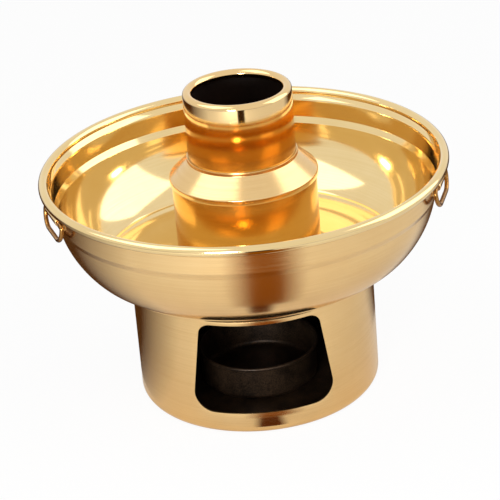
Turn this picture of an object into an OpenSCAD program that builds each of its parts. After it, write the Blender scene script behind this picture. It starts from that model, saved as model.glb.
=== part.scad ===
// Chimney hot pot: a ring-shaped bowl round a fire tube, standing on a drum with a stoke window.
// Sizes are in millimetres. The origin is the middle of the foot on the table, +Z is up, and
// the window faces -Y.

/* [Bowl] */
// Outer diameter over the rolled rim
rim_d = 240; // [220:1:260]
// Height of the middle of the rolled rim above the table
rim_h = 140.5; // [134:0.5:150]
// Thickness of the rolled rim
rim_roll_d = 5.6; // [4.6:0.1:6]
// How far the rim stands out past the band below it
rim_overhang = 6.4; // [6.2:0.1:8]
// Drop from the middle of the rim to the top of the lid ledge
ledge_drop = 15.5; // [14:0.5:20]
// Height over which the band flares out under the rim
flare_drop = 4.5; // [3.6:0.1:4.6]
// Width of the lid ledge
ledge_w = 1.9; // [1:0.1:3]
// Height over which the lid ledge slopes
ledge_rise = 3.9; // [3:0.1:5]
// Slope of the wall where it leaves the ledge, in degrees from level
wall_slope = 82; // [78:0.5:86]
// Outer radius of the wall's upper curve
wall_r = 57.3; // [52:0.5:62]
// Outer radius of the curve from the wall to the floor
heel_r = 32.7; // [28:0.5:38]
// Height of the underside of the floor above the table
floor_h = 80.5; // [78:0.5:84]
// Sheet thickness of the bowl
bowl_wall = 1.0; // [0.8:0.1:1.2]

/* [Fire tube] */
// Outer diameter of the fire tube
tube_d = 85.2; // [80:0.2:90]
// Wall of the fire tube
tube_wall = 1.0; // [0.8:0.1:1.4]
// How far the fire tube reaches below the floor of the bowl
tube_below = 9; // [6:0.5:12]
// Width of the lip turned in at the foot of the tube, which carries the grate
tube_lip = 4; // [3:0.1:6]
// Inner radius of the bend at the foot of the tube
tube_bend_r = 0.5; // [0.3:0.1:1.5]
// Thickness of the charcoal grate
grate_t = 2.5; // [1.5:0.1:4]
// Radial play of the grate in the tube
grate_play = 0.4; // [0.3:0.05:1]
// Diameter of one hole in the grate
grate_hole_d = 5; // [4:0.1:6]
// Distance between the rings of holes
grate_pitch = 10.5; // [9:0.1:11]

/* [Chimney] */
// Height of the chimney mouth above the table
mouth_h = 189; // [175:0.5:205]
// Outer diameter of the chimney pipe
pipe_d = 63.4; // [58:0.2:68]
// Wall of the chimney pipe
pipe_wall = 1.0; // [0.8:0.1:1.4]
// Thickness of the roll turned in at the mouth
mouth_roll_d = 5.5; // [4:0.1:6]
// Height of the lower edge of the cone above the table
cone_h = 133.3; // [125:0.1:136]
// Height of the straight lip that goes over the tube
cone_lip = 3.1; // [2.5:0.1:6]
// Height of the sloping part of the cone
cone_rise = 10; // [8:0.1:14]
// Height of the collar round the foot of the pipe
collar_h = 2.3; // [1.5:0.1:5]
// Wall of the cone
cone_wall = 0.8; // [0.6:0.1:1.2]
// Radial play between the cone's lip and the tube
cone_play = 0.3; // [0.2:0.05:0.5]
// Gap between the top of the tube and the inside of the cone
cone_seat_gap = 0.3; // [0.1:0.05:0.5]

/* [Base] */
// Outer diameter of the drum at the table
base_d = 144.8; // [136:0.2:150]
// Outer diameter of the drum under the bowl
base_top_d = 144.4; // [134:0.2:147]
// Sheet thickness of the drum
base_wall = 1.0; // [0.8:0.1:1.2]
// Outer radius of the drum's lower edge
foot_edge_r = 5.5; // [3:0.1:7]
// Width of the rim turned in under the foot
foot_turn = 14; // [10:0.5:20]
// Width of the rim turned in under the bowl
top_turn = 5; // [4:0.1:8]
// Thickness of the plate that closes the foot
plate_t = 0.8; // [0.6:0.1:1.5]
// Radial play of the plate in the drum
plate_play = 0.5; // [0.3:0.1:1]

/* [Window] */
// Height of the sill above the table
sill_h = 14.2; // [12:0.2:16]
// Height of the window
window_h = 57.4; // [55:0.2:58.5]
// Width of the window along its sill, before the corners are rounded
window_sill_w = 84; // [80:0.5:90]
// Width of the window along its top, before the corners are rounded
window_top_w = 68.6; // [62:0.2:74]
// Radius of the lower corners
window_low_r = 11; // [8:0.5:14]
// Radius of the upper corners
window_up_r = 7; // [4:0.5:9]
// Height of the strip left between the window and the vent
strip_h = 2.3; // [1.6:0.1:3]
// Width of the vent slit above the window
vent_w = 66; // [56:0.5:72]
// Radius of the lower corners of the vent
vent_r = 3; // [2:0.1:4]

/* [Ash pan] */
// Outer diameter of the pan's body
pan_d = 71.2; // [64:0.2:72]
// Height of the pan
pan_h = 22; // [16:0.5:24]
// Wall of the pan
pan_wall = 0.8; // [0.6:0.1:1.2]
// Outer radius of the pan's lower edge
pan_edge_r = 3.5; // [2:0.1:5]
// Thickness of the roll at the pan's rim
pan_roll_d = 2.2; // [2:0.1:2.4]

/* [Ring handles] */
// Angle of each handle from the front, seen from above
handle_az = 72.5; // [60:0.5:90]
// Diameter of the ring wire
ring_wire = 2.6; // [2:0.1:3]
// Half the width of the ring, between the middles of its legs
ring_half_w = 17; // [15:0.5:20]
// Depth of the ring from its hinge line to the middle of its lower bar
ring_depth = 11.2; // [11.1:0.1:16]
// Angle at which the ring stands off the bowl, in degrees
ring_tilt = 8; // [6:0.5:20]
// Bend radius of the ring's upper corners
ring_up_r = 2.4; // [2:0.1:2.5]
// Bend radius of the ring's lower corners
ring_low_r = 8.6; // [5:0.1:8.6]
// Drop from the middle of the rim to the hinge line
ring_axis_drop = 6; // [5.8:0.1:7]
// Distance of the hinge line from the band
ring_axis_out = 2.4; // [2.3:0.1:3.2]
// Length of the ear's barrel
ear_len = 22; // [14:0.5:24]
// Wall of the ear's barrel
ear_wall = 0.9; // [0.7:0.1:1.2]
// Height of the ear's plate on the band
ear_plate_h = 8; // [6:0.1:9]
// Thickness of the ear's plate
ear_plate_t = 1.2; // [1:0.1:1.4]
// Radial play of the ring's bar in its barrel
ring_play = 0.08; // [0.03:0.01:0.1]

/* [Hidden] */
$fn = 96;

gold = "#D9B26B";
pale_gold = "#E7CC93";
dark_gold = "#A8742C";
dull_steel = "#8F8578";
iron = "#4A4644";

// Overrun of a cutting shape past the face it cuts
over = 1;
// Angle at which the rolled rim meets the flare
roll_start = 216;

// Bowl, taken along the middle of its sheet
rim_r = rim_d / 2;
band_r = rim_r - rim_overhang;
band_mid_r = band_r - bowl_wall / 2;
roll_mid_r = (rim_roll_d - bowl_wall) / 2;
roll_x = rim_r - rim_roll_d / 2;
flare_h = rim_h - flare_drop;
ledge_h = rim_h - ledge_drop;
step_x = band_r - ledge_w;
step_h = ledge_h - ledge_rise;
wall_x = step_x - wall_r * sin(wall_slope);
wall_h = step_h + wall_r * cos(wall_slope);
heel_turn = acos((wall_h - heel_r - floor_h) / (wall_r - heel_r));
heel_x = wall_x + (wall_r - heel_r) * sin(heel_turn);
heel_h = floor_h + heel_r;

// Fire tube and what stands in it
tube_r = tube_d / 2;
tube_in_r = tube_r - tube_wall;
tube_foot_h = floor_h - tube_below;
grate_r = tube_in_r - tube_bend_r - grate_play;

// Chimney
pipe_r = pipe_d / 2;
lip_mid_r = tube_r + cone_play + cone_wall / 2;
shoulder_h = cone_h + cone_lip;
collar_mid_r = pipe_r + cone_wall / 2;
cone_slope = cone_rise / (lip_mid_r - collar_mid_r);
cone_under = cone_slope * (lip_mid_r - tube_r) - norm([1, cone_slope]) * cone_wall / 2;
tube_top_h = shoulder_h + cone_under - cone_seat_gap;
cone_top_h = shoulder_h + cone_rise;
collar_top_h = cone_top_h + collar_h;
pipe_foot_h = cone_top_h - 1;
mouth_mid_r = (mouth_roll_d - pipe_wall) / 2;

// Base
base_r = base_d / 2;
base_top_r = base_top_d / 2;
top_edge_r = 1.5 * base_wall;
plate_r = base_r - foot_edge_r - plate_play;
vent_h = sill_h + window_h + strip_h;

// Ash pan
pan_r = pan_d / 2;
pan_foot_h = base_wall + plate_t;
pan_roll_r = (pan_roll_d - pan_wall) / 2;

// Ring handles
ring_axis_r = band_r + ring_axis_out;
ring_axis_h = rim_h - ring_axis_drop;
barrel_bore_r = ring_wire / 2 + ring_play;
barrel_r = barrel_bore_r + ear_wall;

// Points along an arc about c, from angle a to angle b
function arc(c, r, a, b, n = 10) =
    [for (i = [0:n]) let (t = a + (b - a) * i / n) [c[0] + r * cos(t), c[1] + r * sin(t)]];

// Unit vector square to the step from a to b
function square_to(a, b) = [a[1] - b[1], b[0] - a[0]] / norm(b - a);

// Mitre vector of a path at its point i
function mitre(p, i) =
    let (last = len(p) - 1,
         m = square_to(p[max(i - 1, 0)], p[max(i, 1)]),
         n = square_to(p[min(i, last - 1)], p[min(i + 1, last)]))
    (m + n) / (1 + m * n);

// Outline of a sheet of thickness t that follows a path
function sheet(p, t) =
    concat([for (i = [0:len(p) - 1]) p[i] + mitre(p, i) * t / 2],
           [for (i = [len(p) - 1:-1:0]) p[i] - mitre(p, i) * t / 2]);

// Middle line of the band and of the flare above it
function band_path() =
    [[band_mid_r, ledge_h], [band_mid_r, flare_h],
     [roll_x + roll_mid_r * cos(roll_start), rim_h + roll_mid_r * sin(roll_start)]];

// Middle line of the bowl, from the hole in its floor to the end of the rolled rim
function bowl_path() = concat(
    [[tube_r, floor_h + bowl_wall / 2]],
    arc([heel_x, heel_h], heel_r - bowl_wall / 2, -90, heel_turn - 90, 12),
    arc([wall_x, wall_h], wall_r - bowl_wall / 2, heel_turn - 88, wall_slope - 90, 12),
    [for (i = [0:1]) band_path()[i]],
    arc([roll_x, rim_h], roll_mid_r, roll_start, -108, 27));

module bowl() {
    color(gold)
    rotate_extrude() polygon(sheet(bowl_path(), bowl_wall));
}

// Tube wall with the lip that carries the grate
module fire_tube() {
    bend_r = tube_bend_r + tube_wall / 2;
    mid_r = tube_r - tube_wall / 2;
    foot = tube_foot_h + tube_wall / 2;
    path = concat(
        [[tube_in_r - tube_lip, foot]],
        arc([mid_r - bend_r, foot + bend_r], bend_r, -90, 0, 6),
        [[mid_r, tube_top_h]]);
    color(dark_gold)
    rotate_extrude() polygon(sheet(path, tube_wall));
}

module fire_grate() {
    color(iron)
    translate([0, 0, tube_foot_h + tube_wall])
    difference() {
        cylinder(r = grate_r, h = grate_t);
        translate([0, 0, -over]) cylinder(d = grate_hole_d, h = grate_t + 2 * over);
        for (ring = [1:3], i = [0:6 * ring - 1])
            rotate([0, 0, 60 * i / ring])
            translate([ring * grate_pitch, 0, -over])
            cylinder(d = grate_hole_d, h = grate_t + 2 * over);
    }
}

// Hood that caps the fire tube and carries the pipe
module chimney_cone() {
    path = [[lip_mid_r, cone_h], [lip_mid_r, shoulder_h], [collar_mid_r, cone_top_h],
            [collar_mid_r, collar_top_h]];
    color(pale_gold)
    rotate_extrude() polygon(sheet(path, cone_wall));
}

module chimney_pipe() {
    mid_r = pipe_r - pipe_wall / 2;
    path = concat(
        [[mid_r, pipe_foot_h]],
        arc([mid_r - mouth_mid_r, mouth_h - mouth_roll_d / 2], mouth_mid_r, 0, 250, 18));
    color(gold)
    rotate_extrude() polygon(sheet(path, pipe_wall));
}

// Opening with four rounded corners, drawn across X and Z
function window_outline() =
    let (lean = atan2((window_sill_w - window_top_w) / 2, window_h),
         low_x = window_sill_w / 2 - window_low_r * tan(45 + lean / 2),
         up_x = window_top_w / 2 - window_up_r * tan(45 - lean / 2),
         top_h = sill_h + window_h)
    concat(arc([low_x, sill_h + window_low_r], window_low_r, -90, lean, 10),
           arc([up_x, top_h - window_up_r], window_up_r, lean, 90, 8),
           arc([-up_x, top_h - window_up_r], window_up_r, 90, 180 - lean, 8),
           arc([-low_x, sill_h + window_low_r], window_low_r, 180 - lean, 270, 10));

// Slit between the strip over the window and the bowl
function vent_outline() =
    let (x = vent_w / 2, top_h = floor_h + over)
    concat([[x, top_h], [-x, top_h]],
           arc([vent_r - x, vent_h + vent_r], vent_r, 180, 270, 6),
           arc([x - vent_r, vent_h + vent_r], vent_r, 270, 360, 6));

module base_drum() {
    t = base_wall;
    top = [base_top_r - t / 2, floor_h - t / 2];
    foot = [base_r - t / 2, t / 2];
    foot_r = foot_edge_r - t / 2;
    path = concat(
        [[base_top_r - top_turn, top[1]]],
        arc([top[0] - top_edge_r, top[1] - top_edge_r], top_edge_r, 90, 0, 6),
        arc([foot[0] - foot_r, foot[1] + foot_r], foot_r, 0, -90, 10),
        [[base_r - foot_turn, foot[1]]]);
    color(pale_gold)
    difference() {
        rotate_extrude() polygon(sheet(path, t));
        rotate([90, 0, 0]) linear_extrude(base_r + over) polygon(window_outline());
        rotate([90, 0, 0]) linear_extrude(base_r + over) polygon(vent_outline());
    }
}

// Disc that lies on the turned-in foot and closes the drum
module floor_plate() {
    color(dull_steel)
    translate([0, 0, base_wall]) cylinder(r = plate_r, h = plate_t);
}

module ash_pan() {
    t = pan_wall;
    mid_r = pan_r - t / 2;
    foot = pan_foot_h + t / 2;
    edge_r = pan_edge_r - t / 2;
    roll_h = pan_foot_h + pan_h - pan_roll_d / 2;
    path = concat(
        [[0, foot]],
        arc([mid_r - edge_r, foot + edge_r], edge_r, -90, 0, 8),
        arc([mid_r + pan_roll_r, roll_h], pan_roll_r, 180, -90, 14));
    color(dull_steel)
    rotate_extrude() polygon(sheet(path, t));
}

// Puts what is drawn with +X outward at the right handle
module at_handle() {
    rotate([0, 0, handle_az - 90]) children();
}

// Outer side of the band and its flare, closed to the middle
function band_outline() =
    let (p = band_path(), skin = [for (i = [0:2]) p[i] - mitre(p, i) * bowl_wall / 2])
    concat([[0, ledge_h]], skin, [[0, skin[2][1]]]);

// Plate on the band with a barrel that the ring's bar turns in
module ear() {
    color(pale_gold)
    difference() {
        union() {
            at_hinge() cylinder(r = barrel_r, h = ear_len, center = true);
            translate([band_r - over, -ear_len / 2, ring_axis_h])
            cube([ring_axis_out + over, ear_len, barrel_r]);
            translate([band_r - over, -ear_len / 2, ring_axis_h + barrel_r - ear_plate_h])
            cube([ear_plate_t + over, ear_len, ear_plate_h]);
        }
        at_hinge() cylinder(r = barrel_bore_r, h = ear_len + 2 * over, center = true);
        rotate_extrude($fn = 180) polygon(band_outline());
    }
}

// Lays a cylinder along the hinge line
module at_hinge() {
    translate([ring_axis_r, 0, ring_axis_h]) rotate([90, 0, 0]) children();
}

// A straight run of ring wire, from x to x + l at height y
module wire_run(x, y, l) {
    translate([x, y, 0]) rotate([0, 90, 0]) cylinder(d = ring_wire, h = l, $fn = 32);
}

// A quarter bend of ring wire about a centre, starting at an angle
module wire_bend(c, r, start) {
    translate([c[0], c[1], 0]) rotate([0, 0, start])
    rotate_extrude(angle = 90) translate([r, 0]) circle(d = ring_wire, $fn = 32);
}

// Closed D-shaped ring, hanging from its straight bar
module ring() {
    up_x = ring_half_w - ring_up_r;
    low_x = ring_half_w - ring_low_r;
    low_y = ring_low_r - ring_depth;
    leg = ring_depth - ring_up_r - ring_low_r;
    color(dark_gold)
    translate([ring_axis_r, 0, ring_axis_h]) rotate([0, -ring_tilt, 0]) rotate([90, 0, 90]) {
        wire_run(-up_x, 0, 2 * up_x);
        wire_bend([up_x, -ring_up_r], ring_up_r, 0);
        wire_bend([-up_x, -ring_up_r], ring_up_r, 90);
        for (x = [-ring_half_w, ring_half_w])
            translate([x, low_y, 0]) rotate([-90, 0, 0]) cylinder(d = ring_wire, h = leg, $fn = 32);
        wire_bend([-low_x, low_y], ring_low_r, 180);
        wire_bend([low_x, low_y], ring_low_r, 270);
        wire_run(-low_x, -ring_depth, 2 * low_x);
    }
}

module ear_right() {
    at_handle() ear();
}

module ear_left() {
    mirror([1, 0, 0]) at_handle() ear();
}

module ring_right() {
    at_handle() ring();
}

module ring_left() {
    mirror([1, 0, 0]) at_handle() ring();
}

bowl();
fire_tube();
fire_grate();
chimney_cone();
chimney_pipe();
base_drum();
floor_plate();
ash_pan();
ear_left();
ear_right();
ring_left();
ring_right();
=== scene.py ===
"""Chimney hot pot of spun gold-coloured sheet metal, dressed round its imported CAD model.

Every piece is in metres, in the CAD model's own frame: the foot stands on the table at the
origin, +Z is up and the stoke window faces -Y.
"""

import math

import bpy
from mathutils import Matrix, Vector


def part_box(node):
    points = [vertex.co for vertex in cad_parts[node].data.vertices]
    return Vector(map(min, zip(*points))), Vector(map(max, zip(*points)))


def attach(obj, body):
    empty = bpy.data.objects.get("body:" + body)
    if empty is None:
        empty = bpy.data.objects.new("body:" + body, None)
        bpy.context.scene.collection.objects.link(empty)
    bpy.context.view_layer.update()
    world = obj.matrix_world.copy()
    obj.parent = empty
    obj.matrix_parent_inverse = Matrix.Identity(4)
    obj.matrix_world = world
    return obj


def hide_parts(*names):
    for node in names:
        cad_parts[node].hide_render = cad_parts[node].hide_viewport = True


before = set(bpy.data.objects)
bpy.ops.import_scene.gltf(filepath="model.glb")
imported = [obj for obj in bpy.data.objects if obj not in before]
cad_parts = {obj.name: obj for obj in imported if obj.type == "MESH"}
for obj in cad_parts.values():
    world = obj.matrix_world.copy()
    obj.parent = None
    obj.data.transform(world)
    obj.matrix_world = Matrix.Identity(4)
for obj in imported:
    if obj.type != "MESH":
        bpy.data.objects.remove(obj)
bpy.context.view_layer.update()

bl_info = {
    "name": "Chimney hot pot",
    "version": (1, 0, 0),
    "blender": (4, 5, 0),
    "location": "View3D > Sidebar > Hot pot",
    "description": "Models a chimney hot pot from spun and pressed sheet metal",
    "category": "Object",
}

MM = 0.001
CLOSE = 0.01 * MM  # points nearer than this are one point


def top(node):
    """Height of a CAD node's highest point, in metres."""
    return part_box(node)[1].z


def foot(node):
    """Height of a CAD node's lowest point, in metres."""
    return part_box(node)[0].z


def length(name, description, default):
    """A length property in metres that the sidebar shows in the scene's unit."""
    return bpy.props.FloatProperty(
        name=name, description=description, default=default, min=0.0,
        unit="LENGTH", subtype="DISTANCE", precision=5)


def angle(name, description, degrees):
    """An angle property that the sidebar shows in degrees."""
    return bpy.props.FloatProperty(
        name=name, description=description, default=math.radians(degrees),
        unit="ROTATION", subtype="ANGLE")


def colour(name, description, hexcode):
    """A colour property, given as sRGB hex."""
    return bpy.props.FloatVectorProperty(
        name=name, description=description, default=linear(hexcode),
        size=4, min=0.0, max=1.0, subtype="COLOR")


def linear(hexcode):
    """Turns an sRGB hex colour into linear RGBA."""
    parts = [int(hexcode[i:i + 2], 16) / 255 for i in (1, 3, 5)]
    return tuple(c / 12.92 if c <= 0.04045 else ((c + 0.055) / 1.055) ** 2.4
                 for c in parts) + (1.0,)


# ---------------------------------------------------------------- sizes and colours

class BowlSizes(bpy.types.PropertyGroup):
    rim_radius: length("Rim radius", "Outer radius over the rolled rim", 120.0 * MM)
    rim_height: length("Rim height", "Height of the middle of the rolled rim", 140.5 * MM)
    rim_roll: length("Rim roll", "Thickness of the rolled rim", 5.6 * MM)
    overhang: length("Overhang", "How far the rim stands out past the band", 6.4 * MM)
    ledge_drop: length("Ledge drop", "From the rim's middle down to the ledge", 15.5 * MM)
    flare_drop: length("Flare drop", "Height over which the band flares out", 4.5 * MM)
    ledge_width: length("Ledge width", "Width of the ledge under the band", 1.9 * MM)
    ledge_rise: length("Ledge rise", "Height over which the ledge slopes", 3.9 * MM)
    wall_slope: angle("Wall slope", "Slope of the wall where it leaves the ledge", 82)
    wall_bend: length("Wall bend", "Outer radius of the wall's upper curve", 57.3 * MM)
    heel_bend: length("Heel bend", "Outer radius from the wall to the floor", 32.7 * MM)
    floor_height: length("Floor height", "Underside of the floor above the table", foot("bowl"))
    groove_radius: length("Groove radius", "Radius of the line pressed round the heel", 88.0 * MM)
    groove_depth: length("Groove depth", "Depth of the line pressed round the heel", 0.5 * MM)
    groove_width: length("Groove width", "Width of the line pressed round the heel", 0.8 * MM)
    gauge: length("Gauge", "Thickness of the bowl's sheet", 1.0 * MM)


class FireTubeSizes(bpy.types.PropertyGroup):
    radius: length("Radius", "Outer radius of the fire tube", 42.6 * MM)
    gauge: length("Gauge", "Thickness of the tube's wall", 1.0 * MM)
    lip: length("Lip", "Width of the lip that carries the grate", 4.0 * MM)
    bend: length("Bend", "Inner radius of the bend at the tube's foot", 0.5 * MM)


class ChimneySizes(bpy.types.PropertyGroup):
    pipe_radius: length("Pipe radius", "Outer radius of the pipe", 31.7 * MM)
    mouth_height: length("Mouth height", "Top of the pipe", top("chimney_pipe"))
    mouth_roll: length("Mouth roll", "Thickness of the roll at the mouth", 5.5 * MM)
    pipe_gauge: length("Pipe gauge", "Thickness of the pipe's wall", 1.0 * MM)
    cone_foot: length("Cone foot", "Lower edge of the cone", foot("chimney_cone"))
    cone_lip: length("Cone lip", "Height of the lip that goes over the tube", 3.1 * MM)
    cone_rise: length("Cone rise", "Height of the sloping part", 10.0 * MM)
    collar: length("Collar", "Height of the collar round the pipe", 2.3 * MM)
    cone_play: length("Cone play", "Radial play of the lip on the tube", 0.3 * MM)
    cone_gauge: length("Cone gauge", "Thickness of the cone's sheet", 0.8 * MM)


class BaseSizes(bpy.types.PropertyGroup):
    foot_radius: length("Foot radius", "Outer radius of the drum at the table", 72.4 * MM)
    top_radius: length("Top radius", "Outer radius of the drum under the bowl", 72.2 * MM)
    height: length("Height", "Top of the drum", top("base_drum"))
    gauge: length("Gauge", "Thickness of the drum's sheet", 1.0 * MM)
    foot_bend: length("Foot bend", "Outer radius of the drum's lower edge", 5.5 * MM)
    foot_turn: length("Foot turn", "Width of the rim turned in under the foot", 14.0 * MM)
    top_turn: length("Top turn", "Width of the rim turned in under the bowl", 5.0 * MM)
    sill: length("Sill", "Height of the window's sill", 14.2 * MM)
    window_height: length("Window height", "Height of the stoke window", 57.4 * MM)
    window_foot: length("Window foot", "Width of the window along its sill", 84.0 * MM)
    window_head: length("Window head", "Width of the window along its top", 68.6 * MM)
    low_corner: length("Low corner", "Radius of the lower corners", 11.0 * MM)
    high_corner: length("High corner", "Radius of the upper corners", 7.0 * MM)
    strip: length("Strip", "Strip between the window and the vent", 2.3 * MM)
    vent_width: length("Vent width", "Width of the vent slit", 66.0 * MM)
    vent_corner: length("Vent corner", "Radius of the vent's lower corners", 3.0 * MM)


class PanSizes(bpy.types.PropertyGroup):
    radius: length("Radius", "Outer radius of the pan's body", 35.6 * MM)
    foot_height: length("Foot height", "Underside of the pan", foot("ash_pan"))
    height: length("Height", "Height of the pan", 22.0 * MM)
    gauge: length("Gauge", "Thickness of the pan's sheet", 0.8 * MM)
    bend: length("Bend", "Outer radius of the pan's lower edge", 3.5 * MM)
    roll: length("Roll", "Thickness of the roll at the pan's rim", 2.2 * MM)


class HandleSizes(bpy.types.PropertyGroup):
    bearing: angle("Bearing", "Angle of each handle from the front, seen from above", 72.5)
    wire: length("Wire", "Diameter of the ring wire", 2.6 * MM)
    half_width: length("Half width", "Half the width of the ring", 17.0 * MM)
    depth: length("Depth", "From the hinge line to the lower bar", 11.2 * MM)
    tilt: angle("Tilt", "Angle at which the ring stands off the bowl", 8)
    high_bend: length("High bend", "Bend radius of the upper corners", 2.4 * MM)
    low_bend: length("Low bend", "Bend radius of the lower corners", 8.6 * MM)
    hinge_drop: length("Hinge drop", "From the rim's middle down to the hinge", 6.0 * MM)
    hinge_out: length("Hinge out", "From the band out to the hinge line", 2.4 * MM)
    ear_length: length("Ear length", "Length of the ear's barrel", 22.0 * MM)
    ear_height: length("Ear height", "Height of the ear's plate", 8.0 * MM)
    ear_gauge: length("Ear gauge", "Thickness of the ear's strap", 0.9 * MM)
    play: length("Play", "Radial play of the bar in its barrel", 0.08 * MM)


class FinishColours(bpy.types.PropertyGroup):
    polish: colour("Polished gold", "Polished gold-coloured sheet", "#EAD09B")
    polish_deep: colour("Deep polished gold", "Its darker streaks", "#DFBF80")
    satin: colour("Satin gold", "Satin pale gold sheet", "#E6C48C")
    satin_deep: colour("Deep satin gold", "Its darker streaks", "#D8AF74")
    # Painted reflection: this deeper gold stands for the bowl's gold seen in the tube and pipe.
    painted_reflection_gold: colour("Painted reflection gold", "Fire tube and pipe, deepened by painted reflection", "#DDAC5A")
    painted_reflection_gold_deep: colour("Deep painted reflection gold", "Its darker streaks", "#CF9642")
    wire: colour("Wire", "Wire of the ring handles", "#B08248")
    wire_deep: colour("Deep wire", "Scuffs on the wire", "#74491F")
    # The inside of the drum and of the pipe is nearly black, a little warmer in places.
    nearly_black: colour("Near black", "Nearly black inside of the drum and the pipe", "#1C110C")
    nearly_black_warm: colour("Warm near black", "Less dark, with metal showing", "#281810")
    steel: colour("Dull steel", "Pan and floor plate", "#574331")
    steel_dark: colour("Smoked steel", "Stains on the pan", "#17100B")
    iron: colour("Cast iron", "Grate", "#4A4644")
    iron_rust: colour("Rusty iron", "Rust and ash on the grate", "#5C4638")
    floor: colour("Floor", "Plain pale floor", "#F4F4F4")


# ---------------------------------------------------------------- nodes and finishes

def add_node(tree, kind, inputs=None, **settings):
    """Adds one node. The inputs are plain values or other nodes' outputs."""
    node = tree.nodes.new(kind)
    for name, value in settings.items():
        setattr(node, name, value)
    for key, value in (inputs or {}).items():
        if isinstance(value, bpy.types.NodeSocket):
            tree.links.new(value, node.inputs[key])
        else:
            node.inputs[key].default_value = value
    return node


def blank_material(name):
    """An empty node material and its tree."""
    material = bpy.data.materials.new(name)
    material.use_nodes = True
    material.node_tree.nodes.clear()
    return material, material.node_tree


def round_the_axis(tree, across, along):
    """Coordinates for marks that run round the vertical axis, as a lathe leaves them.

    across is the spacing of the marks and along is their length, in metres.
    """
    place = add_node(tree, "ShaderNodeTexCoord").outputs["Object"]
    axes = add_node(tree, "ShaderNodeSeparateXYZ", {0: place}).outputs
    flat = add_node(tree, "ShaderNodeCombineXYZ", {0: axes[0], 1: axes[1]}).outputs[0]
    radius = add_node(tree, "ShaderNodeVectorMath", {0: flat}, operation="LENGTH").outputs["Value"]
    drift = add_node(tree, "ShaderNodeMath", {0: axes[0], 1: axes[1]}).outputs[0]
    parts = [add_node(tree, "ShaderNodeMath", {0: value, 1: 1.0 / size},
                      operation="MULTIPLY").outputs[0]
             for value, size in ((radius, across), (axes[2], across), (drift, along))]
    return add_node(tree, "ShaderNodeCombineXYZ",
                    {0: parts[0], 1: parts[1], 2: parts[2]}).outputs[0]


def spun_sheet(name, tint, tint_deep, smooth, rough, mark, cloud, wave=0.0, unpainted_top=None):
    """Gold-coloured sheet that was spun on a lathe.

    Smooth and rough are the least and the greatest roughness. The marks of the spinning run
    round the axis. They are drawn 0.7 mm apart, coarser than the real ones, so that they
    show. The cloud is the slight blotching of the lacquer, and the wave is the dent that the
    spinning roller leaves. The last colour, when given, is the sheet's colour from 0.166 m up;
    below
    0.148 m the tint stays, as painted reflection of the bowl's gold, and the sheet is rougher
    there.
    """
    material, tree = blank_material(name)
    lines = add_node(tree, "ShaderNodeTexNoise", {
        "Vector": round_the_axis(tree, 0.7 * MM, 60 * MM), "Scale": 1.0, "Detail": 3.0})
    blots = add_node(tree, "ShaderNodeTexNoise", {
        "Vector": add_node(tree, "ShaderNodeTexCoord").outputs["Object"],
        "Scale": 45.0, "Detail": 3.0})
    streak = add_node(tree, "ShaderNodeMapRange", {
        "Value": lines.outputs[0], "From Min": 0.3, "From Max": 0.8, "To Max": 0.5})
    tone = add_node(tree, "ShaderNodeMixRGB", {
        0: streak.outputs[0], 1: tint, 2: tint_deep})
    blot = add_node(tree, "ShaderNodeMapRange", {
        "Value": blots.outputs[0], "From Min": 0.4, "From Max": 0.75, "To Max": cloud})
    tone = add_node(tree, "ShaderNodeMixRGB", {
        0: blot.outputs[0], 1: tone.outputs[0], 2: tint_deep})
    gloss = add_node(tree, "ShaderNodeMapRange", {
        "Value": lines.outputs[0], "From Min": 0.3, "From Max": 0.75,
        "To Min": smooth, "To Max": rough})
    if unpainted_top is not None:
        place = add_node(tree, "ShaderNodeTexCoord").outputs["Object"]
        height = add_node(tree, "ShaderNodeSeparateXYZ", {0: place}).outputs[2]
        unpainted_share = add_node(tree, "ShaderNodeMapRange", {
            "Value": height, "From Min": 148 * MM, "From Max": 166 * MM})
        tone = add_node(tree, "ShaderNodeMixRGB", {
            0: unpainted_share.outputs[0], 1: tone.outputs[0], 2: unpainted_top})
        shine = add_node(tree, "ShaderNodeMapRange", {
            "Value": unpainted_share.outputs[0], "To Min": 1.0, "To Max": 0.45})
        gloss = add_node(tree, "ShaderNodeMath", {
            0: gloss.outputs[0], 1: shine.outputs[0]}, operation="MULTIPLY")
    dents = add_node(tree, "ShaderNodeTexNoise", {
        "Vector": round_the_axis(tree, 9 * MM, 160 * MM), "Scale": 1.0, "Detail": 1.0})
    swell = add_node(tree, "ShaderNodeBump", {
        "Height": dents.outputs[0], "Strength": wave, "Distance": 1.0 * MM})
    grain = add_node(tree, "ShaderNodeBump", {
        "Height": lines.outputs[0], "Normal": swell.outputs[0], "Strength": mark,
        "Distance": 0.1 * MM})
    shader = add_node(tree, "ShaderNodeBsdfPrincipled", {
        "Base Color": tone.outputs[0], "Metallic": 1.0, "Roughness": gloss.outputs[0],
        "Normal": grain.outputs[0]})
    add_node(tree, "ShaderNodeOutputMaterial", {"Surface": shader.outputs[0]})
    return material


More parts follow.
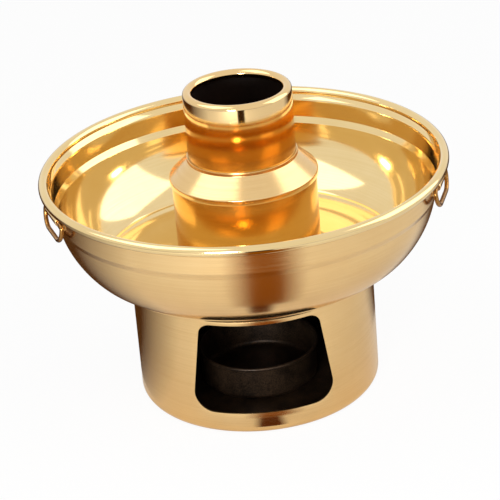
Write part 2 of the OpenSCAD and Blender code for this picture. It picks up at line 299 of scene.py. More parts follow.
def dull_blotched_metal(name, dark, light, metallic, rough, speck):
    """Dull metal with a blotched skin and fine grit, its specks sized speck."""
    material, tree = blank_material(name)
    place = add_node(tree, "ShaderNodeTexCoord").outputs["Object"]
    blots = add_node(tree, "ShaderNodeTexNoise", {
        "Vector": place, "Scale": 70.0, "Detail": 5.0, "Roughness": 0.6})
    grit = add_node(tree, "ShaderNodeTexNoise", {
        "Vector": place, "Scale": 1.0 / speck, "Detail": 3.0})
    both = add_node(tree, "ShaderNodeMath", {
        0: blots.outputs[0], 1: grit.outputs[0]}, operation="MULTIPLY")
    skin = add_node(tree, "ShaderNodeMapRange", {
        "Value": both.outputs[0], "From Min": 0.14, "From Max": 0.42})
    tone = add_node(tree, "ShaderNodeMixRGB", {0: skin.outputs[0], 1: dark, 2: light})
    gloss = add_node(tree, "ShaderNodeMapRange", {
        "Value": grit.outputs[0], "From Min": 0.3, "From Max": 0.7,
        "To Min": rough - 0.08, "To Max": rough + 0.08})
    bumps = add_node(tree, "ShaderNodeBump", {
        "Height": both.outputs[0], "Strength": 0.35, "Distance": 0.25 * MM})
    shader = add_node(tree, "ShaderNodeBsdfPrincipled", {
        "Base Color": tone.outputs[0], "Metallic": metallic, "Roughness": gloss.outputs[0],
        "Normal": bumps.outputs[0]})
    add_node(tree, "ShaderNodeOutputMaterial", {"Surface": shader.outputs[0]})
    return material


def drawn_wire(name, tint, tint_deep):
    """Brass wire, drawn and bent: bright, with short scuffs where it was gripped."""
    material, tree = blank_material(name)
    place = add_node(tree, "ShaderNodeTexCoord").outputs["Object"]
    scuffs = add_node(tree, "ShaderNodeTexNoise", {
        "Vector": place, "Scale": 900.0, "Detail": 3.0})
    patch = add_node(tree, "ShaderNodeMapRange", {
        "Value": scuffs.outputs[0], "From Min": 0.4, "From Max": 0.7})
    tone = add_node(tree, "ShaderNodeMixRGB", {0: patch.outputs[0], 1: tint, 2: tint_deep})
    gloss = add_node(tree, "ShaderNodeMapRange", {
        "Value": scuffs.outputs[0], "To Min": 0.12, "To Max": 0.34})
    bumps = add_node(tree, "ShaderNodeBump", {
        "Height": scuffs.outputs[0], "Strength": 0.12, "Distance": 0.1 * MM})
    shader = add_node(tree, "ShaderNodeBsdfPrincipled", {
        "Base Color": tone.outputs[0], "Metallic": 1.0, "Roughness": gloss.outputs[0],
        "Normal": bumps.outputs[0]})
    add_node(tree, "ShaderNodeOutputMaterial", {"Surface": shader.outputs[0]})
    return material


def finishes():
    """The object's finishes, all made the first time that one is asked for."""
    if "polished_brass_sheet" in bpy.data.materials:
        return bpy.data.materials
    tints = bpy.context.scene.hot_pot_colours
    # Polished brass sheet: a near mirror, so its colour is mostly what it reflects, and the
    # gold deepens each time the light goes from wall to wall.
    spun_sheet("polished_brass_sheet", tints.polish, tints.polish_deep,
               smooth=0.07, rough=0.13, mark=0.015, cloud=0.3, wave=0.015)
    # Fire tube and lower pipe: a deeper gold painted as the bowl's reflection, satin at the top.
    spun_sheet("painted_reflection_brass_sheet", tints.painted_reflection_gold, tints.painted_reflection_gold_deep,
               smooth=0.16, rough=0.23, mark=0.012, cloud=0.3, wave=0.015, unpainted_top=tints.satin)
    # Satin brass sheet: the same metal left from the finishing cloth, with soft reflections.
    spun_sheet("satin_brass_sheet", tints.satin, tints.satin_deep,
               smooth=0.14, rough=0.24, mark=0.025, cloud=0.35, wave=0.02)
    # Sheared brass edge: bare metal where the sheet was cut, pale and a little rough.
    spun_sheet("sheared_brass_edge", tints.satin, tints.polish,
               smooth=0.25, rough=0.4, mark=0.05, cloud=0.4)
    # Drawn brass wire for the two rings, browner than the sheet.
    drawn_wire("drawn_brass_wire", tints.wire, tints.wire_deep)
    # Nearly black brass: the inside of the drum and of the pipe, dull and blotched.
    dull_blotched_metal("nearly_black_brass", tints.nearly_black, tints.nearly_black_warm,
                 metallic=0.35, rough=0.5, speck=0.9 * MM)
    # Smoked mild steel: the pan and the plate under it, dull and speckled with ash.
    dull_blotched_metal("smoked_steel", tints.steel_dark, tints.steel,
                 metallic=0.6, rough=0.42, speck=0.7 * MM)
    # Sand-cast iron: a coarse matt grain.
    dull_blotched_metal("sand_cast_iron", tints.iron, tints.iron_rust,
                 metallic=0.6, rough=0.72, speck=0.8 * MM)
    return bpy.data.materials


# ---------------------------------------------------------------- outlines

def arc(centre, radius, start, end, parts):
    """Points on an arc from one angle to another, in degrees."""
    return [(centre[0] + radius * math.cos(math.radians(start + (end - start) * i / parts)),
             centre[1] + radius * math.sin(math.radians(start + (end - start) * i / parts)))
            for i in range(parts + 1)]


def eased(before, corner, after, radius, parts=5):
    """Points that round the corner between two straight runs."""
    at, one, two = (Vector(p) for p in (corner, before, after))
    one, two = (one - at).normalized(), (two - at).normalized()
    half = one.angle(two) / 2
    run = radius / math.tan(half)
    centre = at + (one + two).normalized() * radius / math.sin(half)
    begin, finish = at + one * run - centre, at + two * run - centre
    turn = math.atan2(begin.x * finish.y - begin.y * finish.x, begin.dot(finish))
    return [tuple(centre + Matrix.Rotation(turn * i / parts, 2) @ begin)
            for i in range(parts + 1)]


# ---------------------------------------------------------------- ways of making

def deselect():
    """Leaves edit mode and clears the selection."""
    if bpy.context.mode != "OBJECT":
        bpy.ops.object.mode_set(mode="OBJECT")
    bpy.ops.object.select_all(action="DESELECT")


def choose(piece):
    """Makes a piece the only selected one, and the active one."""
    deselect()
    piece.select_set(True)
    bpy.context.view_layer.objects.active = piece


def pick(test):
    """Selects the vertices of the edited mesh that pass a test."""
    bpy.ops.object.mode_set(mode="OBJECT")
    mesh = bpy.context.object.data
    for group in (mesh.vertices, mesh.edges, mesh.polygons):
        group.foreach_set("select", [False] * len(group))
    for vertex in mesh.vertices:
        vertex.select = bool(test(vertex))
    bpy.ops.object.mode_set(mode="EDIT")


def draw_line(name, points):
    """Draws a line of vertices by extruding them one after another from a single one."""
    deselect()
    bpy.ops.mesh.primitive_plane_add(size=MM, location=(0, 0, 0))
    piece = bpy.context.object
    piece.name = piece.data.name = name
    bpy.ops.object.mode_set(mode="EDIT")
    bpy.ops.mesh.select_mode(type="VERT")
    bpy.ops.mesh.select_all(action="SELECT")
    bpy.ops.mesh.merge(type="CENTER")
    bpy.ops.transform.translate(value=points[0])
    for here, there in zip(points, points[1:]):
        step = tuple(b - a for a, b in zip(here, there))
        bpy.ops.mesh.extrude_vertices_move(TRANSFORM_OT_translate={"value": step})
    return piece


def close_line(points):
    """Joins the last vertex of the line that is being drawn to its first."""
    last = len(points) - 1
    pick(lambda v: v.index in (0, last))
    bpy.ops.mesh.edge_face_add()


def draw_sheet(name, points):
    """Draws a flat sheet inside a closed line, and leaves it in edit mode."""
    piece = draw_line(name, points)
    close_line(points)
    bpy.ops.mesh.select_all(action="SELECT")
    bpy.ops.mesh.edge_face_add()
    return piece


def spin_up(name, profile, steps):
    """Turns a profile of radius and height once round the vertical axis."""
    piece = draw_line(name, [(r, 0.0, z) for r, z in profile])
    bpy.ops.mesh.select_all(action="SELECT")
    bpy.ops.mesh.spin(steps=steps, angle=math.tau, center=(0, 0, 0), axis=(0, 0, 1))
    bpy.ops.mesh.select_all(action="SELECT")
    bpy.ops.mesh.remove_doubles(threshold=CLOSE)
    bpy.ops.mesh.normals_make_consistent(inside=False)
    bpy.ops.object.mode_set(mode="OBJECT")
    return piece


def outer_side_out(piece, spot):
    """Flips an open surface if its face nearest to a spot looks to the axis."""
    near = min(piece.data.polygons, key=lambda f: (f.center - Vector(spot)).length)
    if near.normal.dot(Vector(spot) - Vector((0, 0, spot[2]))) < 0:
        piece.data.flip_normals()


def apply_modifier(piece, kind, **settings):
    """Adds a modifier with its settings and applies it."""
    choose(piece)
    modifier = piece.modifiers.new(kind.title(), kind)
    for name, value in settings.items():
        setattr(modifier, name, value)
    bpy.ops.object.modifier_apply(modifier=modifier.name)


def give_gauge(piece, gauge, outside, inside, edge):
    """Gives a surface the thickness of its sheet, and each side of the sheet its finish."""
    for material in (outside, inside, edge):
        piece.data.materials.append(finishes()[material])
    apply_modifier(piece, "SOLIDIFY", thickness=gauge, offset=0.0, use_even_offset=True,
                   material_offset=1, material_offset_rim=2)


def ease_edges(piece, width):
    """Takes the sharpness off the cut edges, then shades the rest smooth."""
    apply_modifier(piece, "BEVEL", width=width, segments=2, limit_method="ANGLE",
                   angle_limit=math.radians(50), material=-1)
    choose(piece)
    bpy.ops.object.shade_smooth_by_angle(angle=math.radians(32))


def stand_for(piece, node, body):
    """Puts a piece in the place of its CAD node."""
    fewest_faces = 20
    if len(piece.data.polygons) < fewest_faces:
        raise RuntimeError(piece.name + " came out without its faces")
    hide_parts(node)
    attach(piece, body)


def cut_away(piece, cutter):
    """Cuts the shape of a closed cutter out of a piece and removes the cutter."""
    apply_modifier(piece, "BOOLEAN", operation="DIFFERENCE", solver="EXACT", object=cutter)
    bpy.data.objects.remove(cutter)


def window_cutter(name, outline, inner, outer):
    """A closed block with an outline across X and Z, which goes from inner to outer in Y."""
    piece = draw_sheet(name, [(x, inner, z) for x, z in outline])
    bpy.ops.mesh.extrude_region_move(TRANSFORM_OT_translate={"value": (0, outer - inner, 0)})
    bpy.ops.mesh.select_all(action="SELECT")
    bpy.ops.mesh.normals_make_consistent(inside=False)
    bpy.ops.object.mode_set(mode="OBJECT")
    piece.data.materials.append(finishes()["sheared_brass_edge"])
    return piece


# ---------------------------------------------------------------- pieces

class HOTPOT_OT_bowl(bpy.types.Operator):
    """Spin the ring-shaped bowl with its ledge, band and rolled rim"""
    bl_idname = "hot_pot.bowl"
    bl_label = "Bowl"

    def execute(self, context):
        s = context.scene.hot_pot_bowl
        half = s.gauge / 2
        band = s.rim_radius - s.overhang - half
        roll = (s.rim_roll - s.gauge) / 2
        roll_middle = (s.rim_radius - s.rim_roll / 2, s.rim_height)
        step = (band + half - s.ledge_width, s.rim_height - s.ledge_drop - s.ledge_rise)
        slope = s.wall_slope
        wall = (step[0] - s.wall_bend * math.sin(slope), step[1] + s.wall_bend * math.cos(slope))
        turn = math.acos((wall[1] - s.heel_bend - s.floor_height) / (s.wall_bend - s.heel_bend))
        heel = (wall[0] + (s.wall_bend - s.heel_bend) * math.sin(turn),
                s.floor_height + s.heel_bend)
        low = s.floor_height + half
        turn, slope = math.degrees(turn), math.degrees(slope)
        middle = s.heel_bend - half
        begin = math.degrees(math.asin((s.groove_radius - heel[0]) / middle)) - 90
        width = math.degrees(s.groove_width / middle)
        groove = [arc(heel, middle + s.groove_depth * math.sin(math.pi * i / 6),
                      begin + width * i / 6, 0, 1)[0] for i in range(1, 6)]
        wall_arc = arc(wall, s.wall_bend - half, turn - 90, slope - 90, 18)
        ledge = (band, s.rim_height - s.ledge_drop)
        flare = (band, s.rim_height - s.flare_drop)
        # The rim is rolled outwards and down, until its edge nearly meets the band again.
        curl = arc(roll_middle, roll, 216, -108, 40)
        # The floor goes a little way into the tube's wall, where the weld is.
        start = context.scene.hot_pot_fire_tube.radius - 0.2 * MM
        ledge_foot_bend, ledge_top_bend, flare_bend = 1.0 * MM, 1.2 * MM, 3.0 * MM
        profile = (
            [(start, low), (start + 12 * MM, low)]
            + arc(heel, middle, -90, begin, 9) + groove
            + arc(heel, middle, begin + width, turn - 90, 9)
            + wall_arc[1:-1]
            + eased(wall_arc[-2], wall_arc[-1], ledge, ledge_foot_bend)
            + eased(wall_arc[-1], ledge, flare, ledge_top_bend)
            + eased(ledge, flare, curl[0], flare_bend) + curl)
        piece = spin_up("spun_bowl", profile, 240)
        outer_side_out(piece, (band, 0, s.rim_height - 10 * MM))
        give_gauge(piece, s.gauge, "satin_brass_sheet", "polished_brass_sheet",
                   "sheared_brass_edge")
        ease_edges(piece, 0.2 * MM)
        stand_for(piece, "bowl", "pot")
        return {"FINISHED"}


class HOTPOT_OT_fire_tube(bpy.types.Operator):
    """Spin the fire tube with the lip that carries the grate"""
    bl_idname = "hot_pot.fire_tube"
    bl_label = "Fire tube"

    def execute(self, context):
        s = context.scene.hot_pot_fire_tube
        half = s.gauge / 2
        low, high = foot("fire_tube") + half, top("fire_tube")
        middle, bend = s.radius - half, s.bend + half
        profile = ([(s.radius - s.gauge - s.lip, low)]
                   + arc((middle - bend, low + bend), bend, -90, 0, 6) + [(middle, high)])
        piece = spin_up("spun_fire_tube", profile, 180)
        outer_side_out(piece, (middle, 0, high - 10 * MM))
        give_gauge(piece, s.gauge, "painted_reflection_brass_sheet", "nearly_black_brass",
                   "sheared_brass_edge")
        ease_edges(piece, 0.15 * MM)
        stand_for(piece, "fire_tube", "pot")
        return {"FINISHED"}


class HOTPOT_OT_chimney(bpy.types.Operator):
    """Spin the cone and the pipe of the lift-off chimney"""
    bl_idname = "hot_pot.chimney"
    bl_label = "Chimney"

    def execute(self, context):
        s = context.scene.hot_pot_chimney
        tube = context.scene.hot_pot_fire_tube.radius
        lip = tube + s.cone_play + s.cone_gauge / 2
        collar = s.pipe_radius + s.cone_gauge / 2
        rows = [(lip, s.cone_foot), (lip, s.cone_foot + s.cone_lip),
                (collar, s.cone_foot + s.cone_lip + s.cone_rise),
                (collar, s.cone_foot + s.cone_lip + s.cone_rise + s.collar)]
        lip_bend, collar_bend = 1.2 * MM, 0.8 * MM
        profile = ([rows[0]] + eased(rows[0], rows[1], rows[2], lip_bend)
                   + eased(rows[1], rows[2], rows[3], collar_bend) + [rows[3]])
        cone = spin_up("pressed_cone", profile, 180)
        outer_side_out(cone, (lip, 0, s.cone_foot))
        give_gauge(cone, s.cone_gauge, "satin_brass_sheet", "nearly_black_brass",
                   "sheared_brass_edge")
        ease_edges(cone, 0.18 * MM)
        stand_for(cone, "chimney_cone", "chimney")

        middle = s.pipe_radius - s.pipe_gauge / 2
        roll = (s.mouth_roll - s.pipe_gauge) / 2
        profile = ([(middle, foot("chimney_pipe"))]
                   + arc((middle - roll, s.mouth_height - s.mouth_roll / 2), roll, 0, 250, 32))
        pipe = spin_up("spun_pipe", profile, 180)
        outer_side_out(pipe, (middle, 0, foot("chimney_pipe") + 10 * MM))
        give_gauge(pipe, s.pipe_gauge, "painted_reflection_brass_sheet", "nearly_black_brass",
                   "nearly_black_brass")
        ease_edges(pipe, 0.15 * MM)
        stand_for(pipe, "chimney_pipe", "chimney")
        return {"FINISHED"}


class HOTPOT_OT_base(bpy.types.Operator):
    """Spin the base drum and cut its stoke window and vent"""
    bl_idname = "hot_pot.base"
    bl_label = "Base drum"

    def execute(self, context):
        s = context.scene.hot_pot_base
        half = s.gauge / 2
        high = (s.top_radius - half, s.height - half)
        low = (s.foot_radius - half, half)
        turn = 1.5 * s.gauge
        bend = s.foot_bend - half
        profile = ([(s.top_radius - s.top_turn, high[1])]
                   + arc((high[0] - turn, high[1] - turn), turn, 90, 0, 8)
                   + arc((low[0] - bend, low[1] + bend), bend, 0, -90, 14)
                   + [(s.foot_radius - s.foot_turn, low[1])])
        piece = spin_up("spun_base_drum", profile, 288)
        outer_side_out(piece, (low[0], 0, s.height / 2))
        give_gauge(piece, s.gauge, "satin_brass_sheet", "nearly_black_brass", "sheared_brass_edge")

        lean = math.atan2((s.window_foot - s.window_head) / 2, s.window_height)
        low_x = s.window_foot / 2 - s.low_corner * math.tan(math.pi / 4 + lean / 2)
        high_x = s.window_head / 2 - s.high_corner * math.tan(math.pi / 4 - lean / 2)
        low_z = s.sill + s.low_corner
        high_z = s.sill + s.window_height - s.high_corner
        lean = math.degrees(lean)
        window = (arc((low_x, low_z), s.low_corner, -90, lean, 12)
                  + arc((high_x, high_z), s.high_corner, lean, 90, 10)
                  + arc((-high_x, high_z), s.high_corner, 90, 180 - lean, 10)
                  + arc((-low_x, low_z), s.low_corner, 180 - lean, 270, 12))
        # Both cutters go from well inside the drum to just outside its front.
        inner, outer = -20 * MM, -s.foot_radius - 5 * MM
        cut_away(piece, window_cutter("window_cutter", window, inner, outer))

        vent_foot = s.sill + s.window_height + s.strip
        side, round_r = s.vent_width / 2, s.vent_corner
        vent = ([(side, s.height + MM), (-side, s.height + MM)]
                + arc((round_r - side, vent_foot + round_r), round_r, 180, 270, 6)
                + arc((side - round_r, vent_foot + round_r), round_r, 270, 360, 6))
        cut_away(piece, window_cutter("vent_cutter", vent, inner, outer))
        ease_edges(piece, 0.22 * MM)
        stand_for(piece, "base_drum", "pot")
        return {"FINISHED"}


class HOTPOT_OT_pan(bpy.types.Operator):
    """Spin the ash pan with its rolled rim and closed bottom"""
    bl_idname = "hot_pot.pan"
    bl_label = "Ash pan"

    def execute(self, context):
        s = context.scene.hot_pot_pan
        half = s.gauge / 2
        middle, low = s.radius - half, s.foot_height + half
        bend, roll = s.bend - half, (s.roll - s.gauge) / 2
        profile = ([(0.0, low), (12 * MM, low), (24 * MM, low)]
                   + arc((middle - bend, low + bend), bend, -90, 0, 8)
                   + arc((middle + roll, s.foot_height + s.height - s.roll / 2), roll,
                         180, -90, 18))
        piece = spin_up("spun_ash_pan", profile, 144)
        outer_side_out(piece, (middle, 0, low + s.height / 2))
        give_gauge(piece, s.gauge, "smoked_steel", "smoked_steel", "smoked_steel")
        ease_edges(piece, 0.15 * MM)
        stand_for(piece, "ash_pan", "pan")
        return {"FINISHED"}


class HOTPOT_OT_hearth(bpy.types.Operator):
    """Finish the grate and the floor plate that come with model.glb"""
    bl_idname = "hot_pot.hearth"
    bl_label = "Grate and floor plate"

    def execute(self, context):
        for node, finish in (("fire_grate", "sand_cast_iron"), ("floor_plate", "smoked_steel")):
            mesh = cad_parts[node].data
            mesh.materials.clear()
            mesh.materials.append(finishes()[finish])
        return {"FINISHED"}


class HOTPOT_OT_handles(bpy.types.Operator):
    """Bend the two ears and the two rings that swing in them"""
    bl_idname = "hot_pot.handles"
    bl_label = "Ring handles"

    def execute(self, context):
        s = context.scene.hot_pot_handles
        bowl = context.scene.hot_pot_bowl
        band = bowl.rim_radius - bowl.overhang
        hinge = (band + s.hinge_out, bowl.rim_height - s.hinge_drop)
        for side, name in ((1, "right"), (-1, "left")):
            ear = self.ear("ear_strap_" + name, s, band, hinge)
            self.place(ear, side, s.bearing)
            stand_for(ear, "ear_" + name, "pot")
            ring = self.ring("ring_wire_" + name, s, hinge)
            self.place(ring, side, s.bearing)
            stand_for(ring, "ring_" + name, name + "_handle")
        return {"FINISHED"}

    def ear(self, name, s, band, hinge):
        """A strap that lies on the band and is rolled round the ring's bar."""
        half = s.ear_gauge / 2
        barrel = s.wire / 2 + s.play + half
        peak = hinge[1] + barrel
        low = peak + half - s.ear_height
        strap_bend = 1.0 * MM
        strap = ([(band + half, low), (band + half, low + s.ear_height / 2)]
                 + eased((band + half, low), (band + half, peak), (hinge[0], peak), strap_bend)
                 + arc(hinge, barrel, 90, -170, 22))
        piece = draw_line(name, [(x, -s.ear_length / 2, z) for x, z in strap])
        parts = 12
        for part in range(parts):
            edge = s.ear_length * (part / parts - 0.5)
            pick(lambda v: abs(v.co.y - edge) < CLOSE)
            bpy.ops.mesh.extrude_edges_move(
                TRANSFORM_OT_translate={"value": (0, s.ear_length / parts, 0)})
        bpy.ops.mesh.select_all(action="SELECT")
        bpy.ops.mesh.normals_make_consistent(inside=False)
        bpy.ops.object.mode_set(mode="OBJECT")
        # The plate follows the band, while the barrel stays straight for the ring's bar.
        blend = 4 * MM
        for v in piece.data.vertices:
            if v.co.x < band + s.ear_gauge:
                sag = band - math.sqrt(band ** 2 - v.co.y ** 2)
                v.co.x -= sag * min(1.0, max(0.0, (peak - v.co.z) / blend))
        give_gauge(piece, s.ear_gauge, "satin_brass_sheet", "satin_brass_sheet",
                   "sheared_brass_edge")
        ease_edges(piece, 0.2 * MM)
        return piece

    def ring(self, name, s, hinge):
        """A closed D of wire that hangs from its straight bar."""
        high, low = s.half_width - s.high_bend, s.half_width - s.low_bend
        outline = (arc((high, -s.high_bend), s.high_bend, 90, 0, 8)
                   + arc((low, s.low_bend - s.depth), s.low_bend, 0, -90, 16)
                   + arc((-low, s.low_bend - s.depth), s.low_bend, -90, -180, 16)
                   + arc((-high, -s.high_bend), s.high_bend, 180, 90, 8))
        piece = draw_line(name, [(0.0, y, z) for y, z in outline])
        close_line(outline)
        choose(piece)
        bpy.ops.object.convert(target="CURVE")
        piece = bpy.context.object
        piece.data.bevel_depth = s.wire / 2
        piece.data.bevel_resolution = 6
        bpy.ops.object.convert(target="MESH")
        piece = bpy.context.object
        bpy.ops.object.mode_set(mode="EDIT")
        bpy.ops.mesh.select_all(action="SELECT")
        bpy.ops.mesh.remove_doubles(threshold=CLOSE)
        bpy.ops.mesh.normals_make_consistent(inside=False)
        bpy.ops.object.mode_set(mode="OBJECT")
        piece.rotation_euler = (0.0, -s.tilt, 0.0)
        piece.location = (hinge[0], 0.0, hinge[1])
        bpy.ops.object.transform_apply(location=True, rotation=True, scale=True)
        piece.data.materials.append(finishes()["drawn_brass_wire"])
        bpy.ops.object.shade_smooth_by_angle(angle=math.radians(40))
        return piece

    def place(self, piece, side, bearing):
        """Turns a piece that was made at +X to its handle, on one side or the other."""
        choose(piece)
        turn = bearing - math.pi / 2
        piece.rotation_euler = (0.0, 0.0, turn if side > 0 else math.pi - turn)
        bpy.ops.object.transform_apply(location=False, rotation=True, scale=False)


# ---------------------------------------------------------------- stage

# Softboxes: name, place, size in metres, watts, and whether the metal shows it.
LAMPS = (
    ("key_softbox", (0.75, -0.95, 1.25), 1.0, 5.0, False),
    ("top_softbox", (0.1, 0.35, 1.6), 1.2, 1.5, False),
    ("left_softbox", (-0.72, -0.12, 1.3), 1.1, 5.7, True),
    ("right_softbox", (1.3, 0.15, 0.8), 1.4, 8.6, True),
    ("low_softbox", (-0.2, -0.75, 0.24), 0.2, 3.5, True),
)
# Sheets of painted shade, which only the metal's reflections show: name, colour, height over
# the table, bearing of the middle from the front, half the width and softness of its sides, all
# three in degrees, then the radius it goes from and to.
PAINTED_SHADES = (
    ("sill_felt", "#5E3008", 0.3 * MM, 2, 7, 2.5, 0.078, 0.11),
    ("front_felt", "#875012", 0.3 * MM, 5.5, 14, 7, 0.11, 0.42),
    ("post_felt", "#2A1808", 0.3 * MM, 3, 7, 1, 0.42, 1.6),
    ("left_felt", "#5A3818", 0.3 * MM, -130, 40, 25, 0.078, 0.9),
    ("right_felt", "#5A3818", 0.5 * MM, 146, 30, 10, 0.115, 0.9),
)


class HOTPOT_OT_stage(bpy.types.Operator):
    """Lay the pale floor, hang the lamps and set up the camera"""
    bl_idname = "hot_pot.stage"
    bl_label = "Stage"

    def execute(self, context):
        self.floor(context)
        self.world(context)
        self.lamps()
        self.flags()
        self.camera(context)
        return {"FINISHED"}

    def floor(self, context):
        deselect()
        bpy.ops.mesh.primitive_plane_add(size=8.0, location=(0, 0, -0.05 * MM))
        floor = context.object
        floor.name = floor.data.name = "studio_floor"
        material, tree = blank_material("matt_floor_paper")
        # The share of plain white in what each of them sees. The rest is the lit paper.
        white_for_camera, white_for_metal = 0.93, 0.22
        path = add_node(tree, "ShaderNodeLightPath").outputs
        plain = add_node(tree, "ShaderNodeMath", {
            0: path["Is Camera Ray"], 1: white_for_camera}, operation="MULTIPLY")
        place = add_node(tree, "ShaderNodeTexCoord").outputs["Object"]
        away = add_node(tree, "ShaderNodeVectorMath", {0: place}, operation="LENGTH")
        # The metal sees less of it near the foot, so that it still mirrors the shadow there.
        clear = add_node(tree, "ShaderNodeMapRange", {
            "Value": away.outputs["Value"], "From Min": 0.08, "From Max": 0.3,
            "To Min": 0.0, "To Max": white_for_metal})
        mirrored = add_node(tree, "ShaderNodeMath", {
            0: self.mirror_rays(tree), 1: clear.outputs[0]}, operation="MULTIPLY")
        share = add_node(tree, "ShaderNodeMath", {
            0: plain.outputs[0], 1: mirrored.outputs[0]}, operation="MAXIMUM")
        paper = add_node(tree, "ShaderNodeBsdfDiffuse",
                         {"Color": context.scene.hot_pot_colours.floor})
        white = add_node(tree, "ShaderNodeEmission",
                         {"Color": (1.0, 1.0, 1.0, 1.0), "Strength": 1.0})
        both = add_node(tree, "ShaderNodeMixShader",
                        {0: share.outputs[0], 1: paper.outputs[0], 2: white.outputs[0]})
        add_node(tree, "ShaderNodeOutputMaterial", {"Surface": both.outputs[0]})
        floor.data.materials.append(material)

    def mirror_rays(self, tree):
        """One for the rays that metal and glass pass on, and zero for others."""
        path = add_node(tree, "ShaderNodeLightPath").outputs
        return add_node(tree, "ShaderNodeMath", {
            0: path["Is Glossy Ray"], 1: path["Is Transmission Ray"]},
            operation="MAXIMUM").outputs[0]

    def world(self, context):
        world = bpy.data.worlds.new("studio_world")
        world.use_nodes = True
        tree = world.node_tree
        tree.nodes.clear()
        # It lights the table weakly, but the camera and the metal see it white.
        light, white = (add_node(tree, "ShaderNodeBackground", {
            "Color": (1.0, 1.0, 1.0, 1.0), "Strength": strength}) for strength in (0.34, 1.0))
        path = add_node(tree, "ShaderNodeLightPath").outputs
        seen = add_node(tree, "ShaderNodeMath", {
            0: path["Is Camera Ray"], 1: self.mirror_rays(tree)}, operation="MAXIMUM")
        both = add_node(tree, "ShaderNodeMixShader", {
            0: seen.outputs[0], 1: light.outputs[0], 2: white.outputs[0]})
        add_node(tree, "ShaderNodeOutputWorld", {"Surface": both.outputs[0]})
        context.scene.world = world

    def lamps(self):
        """Softboxes: a key and a top light for the floor, and three that the metal shows.

        The left and the right one give the bowl its bright patches. The low one looks in
        through the stoke window.
        """
        for name, place, size, power, shown in LAMPS:
            bpy.ops.object.light_add(type="AREA", location=place)
            lamp = bpy.context.object
            lamp.name = lamp.data.name = name
            lamp.data.size = size
            lamp.data.energy = power
            lamp.visible_glossy = shown
            aim = Vector((0, 0, 0.1)) - Vector(place)
            lamp.rotation_euler = aim.to_track_quat("-Z", "Y").to_euler()

    def flags(self):
        """Dark sheets of painted shade that only the metal sees.

        They lie on the table round the pot and paint shade into its reflections. The three in
        front give the metal its dark stripe, and the two at the sides its dark outer edges.
        """
        for felt in PAINTED_SHADES:
            self.felt(*felt)

    def felt(self, name, hexcode, lift, bearing, half, soft, near, far):
        """Lays a sector of painted shade just above the table, thin towards its two sides.

        It thins out from soft degrees inside its half width to soft degrees outside it.
        """
        material, tree = blank_material(name)
        place = add_node(tree, "ShaderNodeTexCoord").outputs["Object"]
        # Turned until the felt's middle is in front, where the angle has no jump.
        turned = add_node(tree, "ShaderNodeVectorRotate", {
            "Vector": place, "Angle": -math.radians(bearing)}, rotation_type="Z_AXIS")
        axes = add_node(tree, "ShaderNodeSeparateXYZ", {0: turned.outputs[0]}).outputs
        front = add_node(tree, "ShaderNodeMath", {0: axes[1], 1: -1.0}, operation="MULTIPLY")
        turn = add_node(tree, "ShaderNodeMath", {
            0: axes[0], 1: front.outputs[0]}, operation="ARCTAN2")
        off = add_node(tree, "ShaderNodeMath", {0: turn.outputs[0]}, operation="ABSOLUTE")
        cover = add_node(tree, "ShaderNodeMapRange", {
            "Value": off.outputs[0], "From Min": math.radians(half - soft),
            "From Max": math.radians(half + soft), "To Min": 1.0, "To Max": 0.0})
        # The sheet's dark colour is painted shade, which only the metal's reflections show.
        shade_shader = add_node(tree, "ShaderNodeBsdfDiffuse", {"Color": linear(hexcode)})
        bare = add_node(tree, "ShaderNodeBsdfTransparent")
        both = add_node(tree, "ShaderNodeMixShader", {
            0: cover.outputs[0], 1: bare.outputs[0], 2: shade_shader.outputs[0]})
        add_node(tree, "ShaderNodeOutputMaterial", {"Surface": both.outputs[0]})
        reach, parts = half + soft, 16
        turns = [bearing + reach * (2 * i / parts - 1) for i in range(parts + 1)]
        edge = [(far, a) for a in turns] + [(near, a) for a in reversed(turns)]
        flag = draw_sheet(name.replace("felt", "flag"), [
            (r * math.sin(math.radians(a)), -r * math.cos(math.radians(a)), lift)
            for r, a in edge])
        bpy.ops.object.mode_set(mode="OBJECT")
        flag.data.materials.append(material)
        # It is painted shade, which stays only in the metal's reflections.
        flag.visible_camera = flag.visible_diffuse = flag.visible_shadow = False

    def camera(self, context):
        """The camera that was solved from the photograph's ellipses.

        It looks down at 25 degrees and is turned 1.2 degrees about the vertical axis.
        """
        right = Vector((0.9964, -0.0363, -0.0760)).normalized()
        ahead = Vector((0.0, 0.9022, -0.4313)).normalized()
        up = right.cross(ahead).normalized()
        turn = Matrix.Rotation(math.radians(-1.2), 4, "Z")
        pose = Matrix((right, up, -ahead)).transposed().to_4x4()
        pose.translation = Vector((-0.15, -1080.5, 601.2)) * MM
        bpy.ops.object.camera_add()
        camera = context.object
        camera.name = camera.data.name = "photo_camera"
        camera.matrix_world = turn @ pose
        camera.data.sensor_width = 36.0
        camera.data.lens = 144.59
        camera.data.clip_start = 0.05
        camera.data.clip_end = 30.0
        context.scene.camera = camera
        context.scene.view_settings.view_transform = "Standard"


# ---------------------------------------------------------------- sidebar and start

GROUPS = (
    ("hot_pot_bowl", BowlSizes), ("hot_pot_fire_tube", FireTubeSizes),
    ("hot_pot_chimney", ChimneySizes), ("hot_pot_base", BaseSizes),
    ("hot_pot_pan", PanSizes), ("hot_pot_handles", HandleSizes),
    ("hot_pot_colours", FinishColours),
)
OPERATORS = (
    HOTPOT_OT_bowl, HOTPOT_OT_fire_tube, HOTPOT_OT_chimney, HOTPOT_OT_base, HOTPOT_OT_pan,
    HOTPOT_OT_hearth, HOTPOT_OT_handles, HOTPOT_OT_stage,
)


class HOTPOT_PT_sidebar(bpy.types.Panel):
    """The hot pot's pieces, sizes and colours"""
    bl_idname = "HOTPOT_PT_sidebar"
    bl_label = "Chimney hot pot"
    bl_space_type = "VIEW_3D"
    bl_region_type = "UI"
    bl_category = "Hot pot"

    def draw(self, context):
        for operator in OPERATORS:
            self.layout.operator(operator.bl_idname)
        for name, group in GROUPS:
            box = self.layout.box()
            for prop in group.__annotations__:
                box.prop(getattr(context.scene, name), prop)


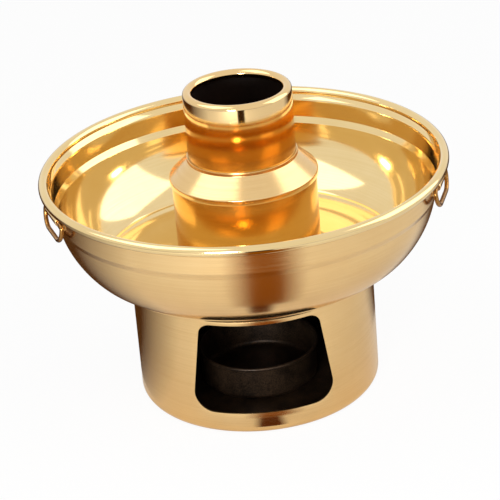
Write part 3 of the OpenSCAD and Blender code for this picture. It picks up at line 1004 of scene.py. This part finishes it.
def register():
    for name, group in GROUPS:
        bpy.utils.register_class(group)
        setattr(bpy.types.Scene, name, bpy.props.PointerProperty(type=group))
    for operator in OPERATORS:
        bpy.utils.register_class(operator)
    bpy.utils.register_class(HOTPOT_PT_sidebar)


def unregister():
    bpy.utils.unregister_class(HOTPOT_PT_sidebar)
    for operator in reversed(OPERATORS):
        bpy.utils.unregister_class(operator)
    for name, group in reversed(GROUPS):
        delattr(bpy.types.Scene, name)
        bpy.utils.unregister_class(group)


def main():
    register()
    bpy.ops.hot_pot.bowl()
    bpy.ops.hot_pot.fire_tube()
    bpy.ops.hot_pot.chimney()
    bpy.ops.hot_pot.base()
    bpy.ops.hot_pot.pan()
    bpy.ops.hot_pot.hearth()
    bpy.ops.hot_pot.handles()
    bpy.ops.hot_pot.stage()


if __name__ == "__main__":
    main()
